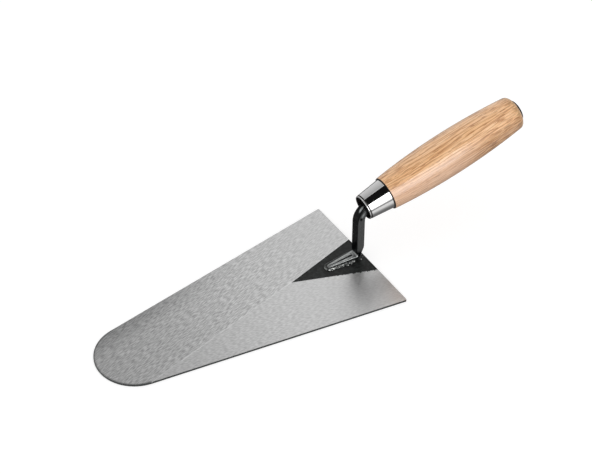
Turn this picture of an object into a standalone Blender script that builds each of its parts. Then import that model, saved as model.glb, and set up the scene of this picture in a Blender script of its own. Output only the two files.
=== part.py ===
"""Round-nosed plastering trowel.

A ground steel blade carries a forged shank, welded on by its fullered tongue. The
shank is cranked up and back, and its tang is driven into a turned wooden handle,
which a chromed ferrule keeps from splitting and a domed cap closes at the butt.

Metres, +Z up. The origin is the middle of the blade's flat underside. +X runs to
the nose, the handle rises over -X, and the X-Z plane halves the tool.
"""
import math

import bmesh
import bpy
from mathutils import Matrix, Vector

# ---------------------------------------------------------------- driving sizes
CLEARANCE = 0.0003              # between two pieces that touch

# Blade
BLADE_LENGTH = 0.180            # heel edge to nose, the size a trowel is sold by
HEEL_WIDTH = 0.095
NOSE_RADIUS = 0.0246
BLADE_THICKNESS = 0.0014        # of the sheet, full on the unground land
LEFT_CORNER_THICKNESS = 0.0009  # at the heel corner of the facet on -Y
LAND_WIDTH = 0.0313             # unground land along the heel edge
LAND_LENGTH = 0.0499            # unground land from the heel edge to its point
LAND_SHIFT = 0.0014             # middle of the land's heel edge, off centre towards +Y
LAND_POINT_SHIFT = 0.0012       # its point, off centre towards -Y
HEEL_CORNER_RADIUS = 0.0008

# Shank: a flat bar with chamfered edges, wider across the blade than along it
NECK_WIDTH = 0.0066
NECK_THICKNESS = 0.0046
NECK_CHAMFER = 0.0006
NECK_AHEAD_OF_HEEL = 0.0030     # heel edge to the neck's centre line
FOOT_INNER_RADIUS = 0.0005      # in the corner between tongue and neck
FOOT_THICKNESS = 0.0028         # where the bend ends and the neck begins
SWELL_LENGTH = 0.0060           # over which the neck thickens to its full size
CRANK_BEND_RADIUS = 0.0100      # centre line, neck to tang
CRANK_HEIGHT = 0.0372           # underside to where the neck and handle lines cross
HANDLE_RISE = math.radians(13.05)

# Tongue: the shank's foot, lying on the blade
TONGUE_LENGTH = 0.0194          # end of the foot bend to the tip
TONGUE_ROOT_WIDTH = 0.0070      # on the blade
TONGUE_TIP_WIDTH = 0.0030
TONGUE_DRAFT = 0.0003           # each flank leans in by this much
TONGUE_ROOT_HEIGHT = 0.0020
TONGUE_TIP_HEIGHT = 0.0011
TONGUE_CHAMFER = 0.0003
FULLER_ROOT_RADIUS = 0.0012
FULLER_TIP_RADIUS = 0.0006
FULLER_ROOT_DEPTH = 0.0007
FULLER_TIP_DEPTH = 0.0004
FULLER_MARGIN = 0.0019          # left solid before the tip and before the neck

# Tang: the octagonal spike inside the handle, measured across its flats
TANG_WIDTH = 0.0055
TANG_TIP_WIDTH = 0.0026
TANG_POINT_WIDTH = 0.0012       # at the blunt point
TANG_POINT_LENGTH = 0.0020
TANG_DEPTH = 0.078              # ferrule mouth to the end of the point

# Weld
WELD_LEG = 0.0013               # out over the blade
WELD_HEIGHT = 0.0011            # up the tongue's flank
WELD_CROWN = 0.0002             # bulge of the bead's face

# Ferrule
FERRULE_LENGTH = 0.0159
FERRULE_MOUTH_DIAMETER = 0.0157
FERRULE_END_DIAMETER = 0.0192
FERRULE_WALL = 0.0009
LIP_GROOVE_DEPTH = 0.0002       # behind the round lip at the mouth
LIP_GROOVE_LENGTH = 0.0004      # of its flat bottom
CRANK_TO_MOUTH = 0.0030         # crossing of the lines to the mouth, along the handle

# Handle
HANDLE_LENGTH = 0.0960          # shoulder to butt
SHOULDER_DIAMETER = 0.0210
BELLY_DIAMETER = 0.0261
BUTT_DIAMETER = 0.0208          # where the barrel's curve would meet the butt plane
SHOULDER_TO_BELLY = 0.0471
SHOULDER_EDGE_RADIUS = 0.0005
BUTT_EDGE_RADIUS = 0.0032
TENON_SETBACK = 0.0056          # ferrule mouth to the end of the tenon

# Butt cap
CAP_DIAMETER = 0.0132
CAP_DOME_HEIGHT = 0.0022        # crown above the butt's face
CAP_EDGE_HEIGHT = 0.0011        # upright rim below the crown
SPIGOT_DIAMETER = 0.0070
SPIGOT_WALL = 0.0008
SPIGOT_LENGTH = 0.0060

# Fineness of the faceted surfaces
TURNED_SEGMENTS = 48
NOSE_SEGMENTS = 32
EDGE_SEGMENTS = 3               # on small rounded edges
CURVE_SEGMENTS = 6              # on larger ones
BARREL_RINGS = 18
SWELL_RINGS = 6
TONGUE_RINGS = 8
TONGUE_NOSE_RINGS = 5
BEND_STEP = math.radians(11)
SHARP_ANGLE = math.radians(35)  # edges steeper than this stay sharp
TOLERANCE = 1e-6

# ------------------------------------------------------------- derived places
HEEL_X = -BLADE_LENGTH / 2
NECK_X = HEEL_X + NECK_AHEAD_OF_HEEL
SEAT_Z = BLADE_THICKNESS + CLEARANCE
NECK_FRONT_X = NECK_X + NECK_THICKNESS / 2
TONGUE_ROOT_X = NECK_FRONT_X + FOOT_INNER_RADIUS
TONGUE_TIP_X = TONGUE_ROOT_X + TONGUE_LENGTH
HANDLE_DIRECTION = Vector((-math.cos(HANDLE_RISE), 0, math.sin(HANDLE_RISE)))
CRANK_POINT = Vector((NECK_X, 0, CRANK_HEIGHT))
MOUTH = CRANK_POINT + CRANK_TO_MOUTH * HANDLE_DIRECTION
CRANK_TURN = math.pi / 2 - HANDLE_RISE
CRANK_TANGENT = CRANK_BEND_RADIUS * math.tan(CRANK_TURN / 2)
TANG_START = CRANK_TANGENT - CRANK_TO_MOUTH     # behind the mouth
OCTAGON_CHAMFER = 1 - math.sqrt(0.5)            # of a width across flats
OCTAGON_CORNER = 0.5 / math.cos(math.pi / 8)    # centre to corner, of that width
SHOULDER = FERRULE_LENGTH + CLEARANCE           # behind the mouth
BUTT = SHOULDER + HANDLE_LENGTH                 # behind the mouth


# -------------------------------------------------------------------- helpers
def clear_scene():
    """Remove every object, mesh and material of the open file."""
    for item in list(bpy.data.objects):
        bpy.data.objects.remove(item, do_unlink=True)
    for store in (bpy.data.meshes, bpy.data.materials):
        for item in list(store):
            store.remove(item)


def material(name, colour, metallic, roughness):
    """A Principled material of one colour, given as linear red, green and blue."""
    made = bpy.data.materials.new(name)
    made.use_nodes = True
    shader = made.node_tree.nodes["Principled BSDF"]
    shader.inputs["Base Color"].default_value = (*colour, 1.0)
    shader.inputs["Metallic"].default_value = metallic
    shader.inputs["Roughness"].default_value = roughness
    return made


def add_object(name, bm, surface, parent=None):
    """Turn a bmesh into a named object with outward faces and smooth curves."""
    bmesh.ops.recalc_face_normals(bm, faces=bm.faces)
    mesh = bpy.data.meshes.new(name)
    bm.to_mesh(mesh)
    bm.free()
    mesh.materials.append(surface)
    mesh.shade_smooth()
    mesh.set_sharp_from_angle(angle=SHARP_ANGLE)
    made = bpy.data.objects.new(name, mesh)
    made.parent = parent
    bpy.context.scene.collection.objects.link(made)
    return made


def loft(sections):
    """Skin a list of equal point loops into one capped body."""
    bm = bmesh.new()
    rings = [[bm.verts.new(point) for point in section] for section in sections]
    count = len(rings[0])
    for ring, following in zip(rings, rings[1:]):
        for i in range(count):
            j = (i + 1) % count
            bm.faces.new((ring[i], ring[j], following[j], following[i]))
    bm.faces.new(rings[0])
    bm.faces.new(rings[-1])
    return bm


def turn(profile, closed):
    """Spin (distance along Z, radius) points about Z into a solid of revolution."""
    bm = bmesh.new()
    verts = [bm.verts.new((radius, 0, along)) for along, radius in profile]
    pairs = list(zip(verts, verts[1:]))
    if closed:
        pairs.append((verts[-1], verts[0]))
    edges = [bm.edges.new(pair) for pair in pairs]
    bmesh.ops.spin(bm, geom=verts + edges, axis=(0, 0, 1), cent=(0, 0, 0),
                   angle=2 * math.pi, steps=TURNED_SEGMENTS, use_merge=True)
    bmesh.ops.remove_doubles(bm, verts=bm.verts, dist=TOLERANCE)
    return bm


def blend(start, end, share):
    """Value a share of the way from start to end."""
    return start + (end - start) * share


def arc(centre, radius, start, end, steps):
    """Points on a circle in a flat (a, b) plane, both ends included."""
    points = []
    for i in range(steps + 1):
        angle = start + (end - start) * i / steps
        points.append((centre[0] + radius * math.cos(angle),
                       centre[1] + radius * math.sin(angle)))
    return points


def cut(target, cutter_bm, name):
    """Take a cutter's volume out of an object with an exact Boolean."""
    bmesh.ops.recalc_face_normals(cutter_bm, faces=cutter_bm.faces)
    mesh = bpy.data.meshes.new(name)
    cutter_bm.to_mesh(mesh)
    cutter_bm.free()
    cutter = bpy.data.objects.new(name, mesh)
    cutter.hide_render = True
    cutter.display_type = "WIRE"
    bpy.context.scene.collection.objects.link(cutter)
    modifier = target.modifiers.new(name, "BOOLEAN")
    modifier.operation = "DIFFERENCE"
    modifier.solver = "EXACT"
    modifier.object = cutter


# ---------------------------------------------------------------------- blade
def side_taper():
    """Angle between the blade's side and its centre line, tangent to the nose."""
    nose_centre = BLADE_LENGTH - NOSE_RADIUS
    half = HEEL_WIDTH / 2
    to_centre = math.atan2(half, nose_centre)
    return to_centre - math.asin(NOSE_RADIUS / math.hypot(nose_centre, half))


def nose_tangent_point():
    """Plan point on +Y where the straight side runs into the nose."""
    taper = side_taper()
    return (HEEL_X + BLADE_LENGTH - NOSE_RADIUS + NOSE_RADIUS * math.sin(taper),
            NOSE_RADIUS * math.cos(taper))


def grind(bm, first, second, third):
    """Take off all that stands above the plane through three points."""
    normal = (second - first).cross(third - first).normalized()
    if normal.z < 0:
        normal = -normal
    sliced = bmesh.ops.bisect_plane(
        bm, geom=bm.verts[:] + bm.edges[:] + bm.faces[:], dist=TOLERANCE,
        plane_co=first, plane_no=normal, clear_outer=True)
    rim = [item for item in sliced["geom_cut"] if isinstance(item, bmesh.types.BMEdge)]
    bmesh.ops.contextual_create(bm, geom=rim)


def make_blade(surface):
    """Flat sheet with a round nose and two facets ground on its top."""
    half = HEEL_WIDTH / 2
    sweep = math.pi / 2 - side_taper()
    nose_centre = (HEEL_X + BLADE_LENGTH - NOSE_RADIUS, 0)
    outline = [(HEEL_X, half), (HEEL_X, -half)]
    outline += arc(nose_centre, NOSE_RADIUS, -sweep, sweep, NOSE_SEGMENTS)
    bm = bmesh.new()
    sheet = bm.faces.new([bm.verts.new((x, y, 0)) for x, y in outline])
    lifted = bmesh.ops.extrude_face_region(bm, geom=[sheet])
    top = [item for item in lifted["geom"] if isinstance(item, bmesh.types.BMVert)]
    bmesh.ops.translate(bm, verts=top, vec=(0, 0, BLADE_THICKNESS))
    bm.normal_update()
    corners = [edge for edge in bm.edges
               if all(abs(vert.co.x - HEEL_X) < TOLERANCE for vert in edge.verts)
               and abs(edge.verts[0].co.z - edge.verts[1].co.z) > TOLERANCE]
    bmesh.ops.bevel(bm, geom=corners, offset=HEEL_CORNER_RADIUS, segments=EDGE_SEGMENTS,
                    profile=0.5, affect="EDGES")

    land_point = Vector((HEEL_X + LAND_LENGTH, -LAND_POINT_SHIFT, BLADE_THICKNESS))
    left_start = Vector((HEEL_X, LAND_SHIFT - LAND_WIDTH / 2, BLADE_THICKNESS))
    right_start = Vector((HEEL_X, LAND_SHIFT + LAND_WIDTH / 2, BLADE_THICKNESS))
    left_corner = Vector((HEEL_X, -half, LEFT_CORNER_THICKNESS))
    grind(bm, left_start, land_point, left_corner)
    # The ridge between the facets runs out where the right side meets the nose.
    ridge_x, ridge_y = nose_tangent_point()
    normal = (land_point - left_start).cross(left_corner - left_start)
    drop = normal.x * (ridge_x - land_point.x) + normal.y * (ridge_y - land_point.y)
    ridge_end = Vector((ridge_x, ridge_y, land_point.z - drop / normal.z))
    grind(bm, right_start, land_point, ridge_end)
    add_object("blade", bm, surface)


# ---------------------------------------------------------------------- shank
def bar_section(centre, heading, bottom, top, thickness, chamfer):
    """One eight-sided loop across the shank.

    heading is the angle of travel above -X. bottom and top are the bar's widths on
    the side of the blade and on the side away from it.
    """
    up = Vector((math.sin(heading), 0, math.cos(heading)))
    across = Vector((0, 1, 0))
    half = thickness / 2
    ends = [(half, top / 2 - chamfer),
            (half - chamfer, blend(top, bottom, chamfer / thickness) / 2),
            (chamfer - half, blend(bottom, top, chamfer / thickness) / 2),
            (-half, bottom / 2 - chamfer)]
    right = [centre + y * across + t * up for t, y in ends]
    left = [centre - y * across + t * up for t, y in reversed(ends)]
    return right + left


def tongue_size(ahead):
    """Width on the blade, width on top and height at a distance from the root."""
    share = ahead / TONGUE_LENGTH
    bottom = blend(TONGUE_ROOT_WIDTH, TONGUE_TIP_WIDTH, share)
    top = bottom - 2 * TONGUE_DRAFT
    height = blend(TONGUE_ROOT_HEIGHT, TONGUE_TIP_HEIGHT, share)
    nose = TONGUE_TIP_WIDTH / 2
    from_tip = TONGUE_LENGTH - ahead
    if from_tip < nose:
        rounding = math.sqrt(1 - (1 - from_tip / nose) ** 2)
        bottom *= rounding
        top *= rounding
    return bottom, top, height


def tongue_section(ahead):
    """Loop across the tongue at a distance from its root."""
    bottom, top, height = tongue_size(ahead)
    centre = Vector((TONGUE_ROOT_X + ahead, 0, SEAT_Z + height / 2))
    chamfer = min(TONGUE_CHAMFER, top / 4)
    return bar_section(centre, 0, bottom, top, height, chamfer)


def tongue_stations():
    """Distances from the root at which the tongue is sectioned, tip first."""
    nose = TONGUE_TIP_WIDTH / 2
    rounded = [TONGUE_LENGTH - nose * (1 - math.cos(math.pi / 2 * i / TONGUE_NOSE_RINGS))
               for i in range(1, TONGUE_NOSE_RINGS + 1)]
    straight = [(TONGUE_LENGTH - nose) * (1 - i / (TONGUE_RINGS + 1))
                for i in range(1, TONGUE_RINGS + 1)]
    return rounded + straight


def make_shank(surface):
    """Fullered tongue, cranked neck and tapered tang in one forging."""
    sections = [tongue_section(ahead) for ahead in tongue_stations()]

    # The foot bend turns about a point just ahead of the inner corner.
    bend_z = SEAT_Z + TONGUE_ROOT_HEIGHT + FOOT_INNER_RADIUS
    steps = math.ceil(math.pi / 2 / BEND_STEP)
    for i in range(steps + 1):
        share = i / steps
        heading = math.pi / 2 * share
        thickness = blend(TONGUE_ROOT_HEIGHT, FOOT_THICKNESS, share ** 2)
        radius = FOOT_INNER_RADIUS + thickness / 2
        centre = Vector((TONGUE_ROOT_X - radius * math.sin(heading), 0,
                         bend_z - radius * math.cos(heading)))
        sections.append(bar_section(
            centre, heading, blend(TONGUE_ROOT_WIDTH, NECK_WIDTH, share),
            blend(TONGUE_ROOT_WIDTH - 2 * TONGUE_DRAFT, NECK_WIDTH, share),
            thickness, blend(TONGUE_CHAMFER, NECK_CHAMFER, share)))

    # The neck's front is straight and its back swells out to the full thickness.
    for i in range(1, SWELL_RINGS + 1):
        share = i / SWELL_RINGS
        eased = share * share * (3 - 2 * share)
        thickness = blend(FOOT_THICKNESS, NECK_THICKNESS, eased)
        centre = Vector((NECK_FRONT_X - thickness / 2, 0, bend_z + SWELL_LENGTH * share))
        sections.append(bar_section(centre, math.pi / 2, NECK_WIDTH, NECK_WIDTH,
                                    thickness, NECK_CHAMFER))

    crank_z = CRANK_HEIGHT - CRANK_TANGENT
    steps = math.ceil(CRANK_TURN / BEND_STEP)
    for i in range(steps + 1):
        share = i / steps
        heading = math.pi / 2 - CRANK_TURN * share
        centre = Vector((NECK_X - CRANK_BEND_RADIUS * (1 - math.sin(heading)), 0,
                         crank_z + CRANK_BEND_RADIUS * math.cos(heading)))
        width = blend(NECK_WIDTH, TANG_WIDTH, share)
        thickness = blend(NECK_THICKNESS, TANG_WIDTH, share)
        chamfer = blend(NECK_CHAMFER, OCTAGON_CHAMFER * TANG_WIDTH, share)
        sections.append(bar_section(centre, heading, width, width, thickness, chamfer))

    for along, width in ((TANG_DEPTH - TANG_POINT_LENGTH, TANG_TIP_WIDTH),
                         (TANG_DEPTH, TANG_POINT_WIDTH)):
        centre = MOUTH + along * HANDLE_DIRECTION
        sections.append(bar_section(centre, HANDLE_RISE, width, width, width,
                                    OCTAGON_CHAMFER * width))

    shank = add_object("shank", loft(sections), surface)
    cut(shank, fuller_cutter(), "fuller_cutter")


def fuller_cutter():
    """Tapered round-ended bar laid along the tongue's top."""
    root = FULLER_MARGIN
    tip = TONGUE_LENGTH - FULLER_MARGIN
    root_top = SEAT_Z + tongue_size(root)[2]
    tip_top = SEAT_Z + tongue_size(tip)[2]
    start = Vector((TONGUE_ROOT_X + root, 0,
                    root_top + FULLER_ROOT_RADIUS - FULLER_ROOT_DEPTH))
    end = Vector((TONGUE_ROOT_X + tip, 0,
                  tip_top + FULLER_TIP_RADIUS - FULLER_TIP_DEPTH))
    length = (end - start).length
    profile = arc((0, 0), FULLER_ROOT_RADIUS, math.pi, math.pi / 2, EDGE_SEGMENTS)
    profile += arc((length, 0), FULLER_TIP_RADIUS, math.pi / 2, 0, EDGE_SEGMENTS)
    bm = turn(profile, closed=False)
    tilt = (end - start).to_track_quat("Z", "Y").to_matrix().to_4x4()
    bmesh.ops.transform(bm, matrix=Matrix.Translation(start) @ tilt, verts=bm.verts)
    return bm


# ----------------------------------------------------------------------- weld
def make_weld(surface):
    """Fillet bead round the tongue: up one flank, round the tip and back."""
    outline = [(TONGUE_ROOT_X + ahead, tongue_size(ahead)[0] / 2)
               for ahead in tongue_stations()]
    route = [(x, -y) for x, y in reversed(outline)]
    route += [(TONGUE_TIP_X, 0)]
    route += outline
    slope = math.hypot(WELD_LEG, WELD_HEIGHT)
    crown = (WELD_LEG / 2 + WELD_CROWN * WELD_HEIGHT / slope,
             WELD_HEIGHT / 2 + WELD_CROWN * WELD_LEG / slope)
    section = ((0, 0), (WELD_LEG, 0), crown, (0, WELD_HEIGHT))
    sections = []
    for i, (x, y) in enumerate(route):
        before = route[max(i - 1, 0)]
        after = route[min(i + 1, len(route) - 1)]
        travel = Vector((after[0] - before[0], after[1] - before[1], 0)).normalized()
        outward = Vector((travel.y, -travel.x, 0))
        base = Vector((x, y, SEAT_Z)) + CLEARANCE * outward
        sections.append([base + out * outward + Vector((0, 0, up)) for out, up in section])
    add_object("weld_bead", loft(sections), surface)


# -------------------------------------------------------------------- ferrule
def ferrule_radius(along):
    """Outside radius at a distance behind the mouth."""
    return blend(FERRULE_MOUTH_DIAMETER, FERRULE_END_DIAMETER, along / FERRULE_LENGTH) / 2


def make_ferrule(surface, handle_axis):
    """Conical shell with a round lip at the mouth and a narrow groove behind it."""
    edge = FERRULE_WALL / 2
    lip_radius = ferrule_radius(edge)
    groove_angle = math.asin(1 - LIP_GROOVE_DEPTH / edge)
    groove_start = edge + edge * math.cos(groove_angle)
    groove_end = groove_start + LIP_GROOVE_LENGTH
    cone_start = groove_end + LIP_GROOVE_DEPTH
    profile = [(FERRULE_LENGTH, ferrule_radius(FERRULE_LENGTH) - FERRULE_WALL),
               (FERRULE_LENGTH, ferrule_radius(FERRULE_LENGTH)),
               (cone_start, ferrule_radius(cone_start)),
               (groove_end, lip_radius - LIP_GROOVE_DEPTH)]
    profile += arc((edge, lip_radius - edge), edge,
                   groove_angle, 3 * math.pi / 2, CURVE_SEGMENTS)
    add_object("ferrule", turn(profile, closed=True), surface, handle_axis)


# --------------------------------------------------------------------- handle
def barrel_radius(along):
    """Radius of the turned barrel at a distance behind the mouth."""
    from_belly = along - SHOULDER - SHOULDER_TO_BELLY
    if from_belly < 0:
        end, reach = SHOULDER_DIAMETER, SHOULDER_TO_BELLY
    else:
        end, reach = BUTT_DIAMETER, HANDLE_LENGTH - SHOULDER_TO_BELLY
    return (BELLY_DIAMETER - (BELLY_DIAMETER - end) * (from_belly / reach) ** 2) / 2


def bore_radius(along):
    """Radius of the tapered bore that clears the corners of the tang."""
    share = (along - TANG_START) / (TANG_DEPTH - TANG_POINT_LENGTH - TANG_START)
    return OCTAGON_CORNER * blend(TANG_WIDTH, TANG_TIP_WIDTH, share) + CLEARANCE


def make_handle(surface, handle_axis):
    """Turned barrel with a conical tenon, a bore for the tang and a butt socket."""
    bore_end = TANG_DEPTH + CLEARANCE
    tenon_clearance = FERRULE_WALL + CLEARANCE
    profile = [(bore_end, 0), (bore_end, bore_radius(bore_end)),
               (TENON_SETBACK, bore_radius(TENON_SETBACK)),
               (TENON_SETBACK, ferrule_radius(TENON_SETBACK) - tenon_clearance),
               (SHOULDER, ferrule_radius(SHOULDER) - tenon_clearance)]
    edge = SHOULDER_EDGE_RADIUS
    profile += arc((SHOULDER + edge, barrel_radius(SHOULDER) - edge), edge,
                   math.pi, math.pi / 2, EDGE_SEGMENTS)
    barrel_start = SHOULDER + edge
    barrel_end = BUTT - BUTT_EDGE_RADIUS
    for i in range(1, BARREL_RINGS):
        along = barrel_start + (barrel_end - barrel_start) * i / BARREL_RINGS
        profile.append((along, barrel_radius(along)))
    profile += arc((barrel_end, barrel_radius(barrel_end) - BUTT_EDGE_RADIUS),
                   BUTT_EDGE_RADIUS, math.pi / 2, 0, CURVE_SEGMENTS)
    socket = SPIGOT_DIAMETER / 2 + CLEARANCE
    socket_end = BUTT - SPIGOT_LENGTH - CLEARANCE
    profile += [(BUTT, socket), (socket_end, socket), (socket_end, 0)]
    add_object("handle", turn(profile, closed=False), surface, handle_axis)


# ------------------------------------------------------------------- butt cap
def make_butt_cap(surface, handle_axis):
    """Domed steel cap with a hollow spigot pressed into the butt."""
    rim = CAP_DIAMETER / 2
    seat = BUTT + CLEARANCE
    edge_top = seat + CAP_EDGE_HEIGHT
    rise = CAP_DOME_HEIGHT - CAP_EDGE_HEIGHT
    dome_radius = (rim ** 2 + rise ** 2) / (2 * rise)
    half_angle = math.asin(rim / dome_radius)
    dome = arc((edge_top + rise - dome_radius, 0), dome_radius, half_angle, 0,
               CURVE_SEGMENTS)
    spigot = SPIGOT_DIAMETER / 2
    inner = spigot - SPIGOT_WALL
    profile = [(seat, 0), (seat, inner), (BUTT - SPIGOT_LENGTH, inner),
               (BUTT - SPIGOT_LENGTH, spigot), (seat, spigot), (seat, rim)]
    add_object("butt_cap", turn(profile + dome, closed=False), surface, handle_axis)


# ------------------------------------------------------------------- assembly
def main():
    clear_scene()
    ground_steel = material("ground_steel", (0.40, 0.40, 0.39), 1.0, 0.38)
    black_lacquer = material("black_lacquered_steel", (0.02, 0.02, 0.021), 0.0, 0.35)
    weld_metal = material("weld_metal", (0.20, 0.20, 0.20), 1.0, 0.45)
    chrome = material("chrome_plate", (0.60, 0.61, 0.62), 1.0, 0.08)
    cap_steel = material("bright_cap_steel", (0.35, 0.35, 0.36), 1.0, 0.15)
    beech = material("lacquered_beech", (0.76, 0.47, 0.27), 0.0, 0.40)

    # Pieces turned on the handle's line hang from an empty in the ferrule's mouth.
    handle_axis = bpy.data.objects.new("handle_axis", None)
    handle_axis.location = MOUTH
    handle_axis.rotation_euler = (0, HANDLE_RISE - math.pi / 2, 0)
    bpy.context.scene.collection.objects.link(handle_axis)

    make_blade(ground_steel)
    make_shank(black_lacquer)
    make_weld(weld_metal)
    make_ferrule(chrome, handle_axis)
    make_handle(beech, handle_axis)
    make_butt_cap(cap_steel, handle_axis)


main()
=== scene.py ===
"""Looks of a round-nosed masonry trowel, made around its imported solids.

Metres, in the frame of the solids: the origin lies on the blade's flat underside, +X
runs to the nose, +Z is up and the handle rises over -X.
"""
import math

import bpy
from mathutils import Euler, Matrix, Vector


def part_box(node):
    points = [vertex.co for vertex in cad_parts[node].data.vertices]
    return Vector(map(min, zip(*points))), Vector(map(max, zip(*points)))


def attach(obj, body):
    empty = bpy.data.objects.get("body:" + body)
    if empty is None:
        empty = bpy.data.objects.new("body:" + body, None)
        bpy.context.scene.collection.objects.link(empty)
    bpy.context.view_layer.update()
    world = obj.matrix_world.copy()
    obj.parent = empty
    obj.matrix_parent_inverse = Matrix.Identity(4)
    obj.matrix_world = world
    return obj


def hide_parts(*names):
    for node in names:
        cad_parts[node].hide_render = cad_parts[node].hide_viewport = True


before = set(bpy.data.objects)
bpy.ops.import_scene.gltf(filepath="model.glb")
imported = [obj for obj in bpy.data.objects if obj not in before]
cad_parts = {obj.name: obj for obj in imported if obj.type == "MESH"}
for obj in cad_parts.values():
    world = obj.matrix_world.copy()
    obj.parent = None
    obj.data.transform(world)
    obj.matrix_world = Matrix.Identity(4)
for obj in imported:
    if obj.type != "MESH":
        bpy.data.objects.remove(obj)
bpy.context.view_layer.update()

MM = 0.001
TOUCH = 0.01 * MM               # points nearer than this are one point
SAME_PLANE = 0.05               # degrees; faces that turn less are one flat face
LEVEL = 1 - 1e-7                # upward part of the normal of a level face
TURNED_SIDES = 128              # facets round the ferrule and the handle


# ------------------------------------------------------- places read off the frame
def corners_of(node):
    """Distinct corner points of a solid."""
    seen = {tuple(round(value, 7) for value in vertex.co)
            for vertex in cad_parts[node].data.vertices}
    return [Vector(point) for point in sorted(seen)]


def middle(points):
    """Mean of a list of points."""
    return sum(points, Vector()) / len(points)


def places_mm(*points):
    """Points given in millimetres, as vectors in metres."""
    return [Vector(point) * MM for point in points]


# The handle: its line starts at the middle of the ferrule's mouth and runs to the butt.
FERRULE_MIDDLE = middle(corners_of("ferrule"))
HANDLE_DIRECTION = (middle(corners_of("butt_cap")) - FERRULE_MIDDLE).normalized()
MOUTH = FERRULE_MIDDLE + HANDLE_DIRECTION * min(
    (point - FERRULE_MIDDLE).dot(HANDLE_DIRECTION) for point in corners_of("ferrule"))
HANDLE_TURN = HANDLE_DIRECTION.to_track_quat("Z", "Y")

# The blade: its heel edge, its flat land between the facets and its rim on the -Y side.
BLADE_LOW, BLADE_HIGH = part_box("blade")
HEEL_X = BLADE_LOW.x
BLADE_TOP = BLADE_HIGH.z
LAND_CORNERS = [point for point in corners_of("blade") if point.z > BLADE_TOP - TOUCH]
LAND_POINT = max(LAND_CORNERS, key=lambda point: point.x)
LAND_HEEL_END = max(LAND_CORNERS, key=lambda point: point.y)
NOSE_RADIUS = 24.6 * MM         # of the round end, in plan
NOSE_CENTRE = Vector((BLADE_HIGH.x - NOSE_RADIUS, 0, 0))
RIM_AT_HEEL = Vector((HEEL_X, BLADE_LOW.y, 0))
RIM_AT_NOSE = NOSE_CENTRE - Vector((0, NOSE_RADIUS, 0))

# The tongue: the line along the top of its two ridges, and its +Y flank in plan.
TONGUE_TIP_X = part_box("shank")[1].x
RIDGE_AT_ROOT = Vector((HEEL_X + 6 * MM, 0, BLADE_TOP + 2.3 * MM))
RIDGE_AT_TIP = Vector((TONGUE_TIP_X, 0, BLADE_TOP + 1.4 * MM))
FLANK_AT_TIP = Vector((TONGUE_TIP_X - 1 * MM, 1.5 * MM, 0))
FLANK_AT_ROOT = Vector((HEEL_X + 5.7 * MM, 3.5 * MM, 0))

# The neck: scale and thick lacquer stand on it. Each streak on its bend, a painted
# highlight on partly bare steel, and the dent below them, kept dark as painted shade, runs
# between two ends.
LACQUER_BUILD = 0.3 * MM
BEND_STREAK = places_mm((-86.9, 1.0, 36.6), (-89.4, 0.6, 39.2))
SIDE_STREAK = places_mm((-87.0, 3.1, 33.8), (-89.5, 3.0, 37.0))
DENT = places_mm((-86.5, 3.3, 33.1), (-86.5, 3.3, 32.3))

# The weld: drops that stand out of the bead on its +Y side. Each is given by how far
# ahead of the heel edge it lies, how far aside, and its radius, in millimetres.
WELD_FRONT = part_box("weld_bead")[1].x
WELD_DROPS_MM = (
    (24.6, 2.6, 0.45), (23.2, 3.1, 0.65), (21.9, 3.3, 0.4), (19.9, 3.7, 0.6),
    (18.6, 3.7, 0.35), (17.2, 4.0, 0.55), (15.9, 4.1, 0.4), (13.4, 4.6, 0.85),
    (10.6, 4.9, 0.55), (3.9, 4.8, 0.6), (1.6, 3.4, 0.5), (1.2, 1.2, 0.35))

# The wood has its own places: X along the handle from the mouth, Y aside towards the
# frame's -Y, and Z up across it. The rings' pith lies below the handle, on its +Y side.
GRAIN_TURN = HANDLE_DIRECTION.to_track_quat("X", "Z")
PITH = (0, -22 * MM, -17 * MM)
RING_SPACING = 1.4 * MM


def turned_place(point):
    """(distance behind the mouth, radius) of a point round the handle's line."""
    along = (point - MOUTH).dot(HANDLE_DIRECTION)
    return along, (point - MOUTH - along * HANDLE_DIRECTION).length


def rings_of(node):
    """(distance behind the mouth, radius) of each ring of corners of a turned solid."""
    return sorted({tuple(round(value, 5) for value in turned_place(point))
                   for point in corners_of(node)})


BUTT = rings_of("handle")[-1][0]        # end of the wood, behind the mouth
CAP_RADIUS = max(radius for along, radius in rings_of("butt_cap"))
CAP_SEAT = min(along for along, radius in rings_of("butt_cap")
               if radius > CAP_RADIUS - TOUCH)


# -------------------------------------------------------------------- shaping tools
def pick(piece):
    """Select one piece alone and make it the active one."""
    bpy.ops.object.select_all(action="DESELECT")
    piece.select_set(True)
    bpy.context.view_layer.objects.active = piece


def open_piece(piece):
    """Open one piece for editing with nothing selected in it."""
    pick(piece)
    bpy.ops.object.mode_set(mode="EDIT")
    bpy.ops.mesh.select_all(action="DESELECT")


def close_piece():
    """Leave edit mode."""
    bpy.ops.object.mode_set(mode="OBJECT")


def copy_solid(node, name):
    """Copy of a solid with its loose triangles merged into clean flat faces."""
    piece = bpy.data.objects.new(name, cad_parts[node].data.copy())
    bpy.context.scene.collection.objects.link(piece)
    piece.data.materials.clear()
    open_piece(piece)
    bpy.ops.mesh.select_all(action="SELECT")
    bpy.ops.mesh.remove_doubles(threshold=TOUCH)
    bpy.ops.mesh.dissolve_limited(angle_limit=math.radians(SAME_PLANE))
    close_piece()
    return piece


def ends_of(edge, mesh):
    """Places of an edge's two ends."""
    return [mesh.vertices[i].co for i in edge.vertices]


def select_edges(piece, wanted):
    """Select the edges of an opened piece for which wanted(ends) is true."""
    bpy.ops.mesh.select_all(action="DESELECT")
    bpy.ops.mesh.select_mode(type="EDGE")
    close_piece()
    for edge in piece.data.edges:
        edge.select = wanted(ends_of(edge, piece.data))
    bpy.ops.object.mode_set(mode="EDIT")


def apply_modifier(piece, kind, **settings):
    """Add a modifier to a piece, set it and apply it."""
    pick(piece)
    bpy.ops.object.modifier_add(type=kind)
    modifier = piece.modifiers[-1]
    for name, value in settings.items():
        setattr(modifier, name, value)
    bpy.ops.object.modifier_apply(modifier=modifier.name)


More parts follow.
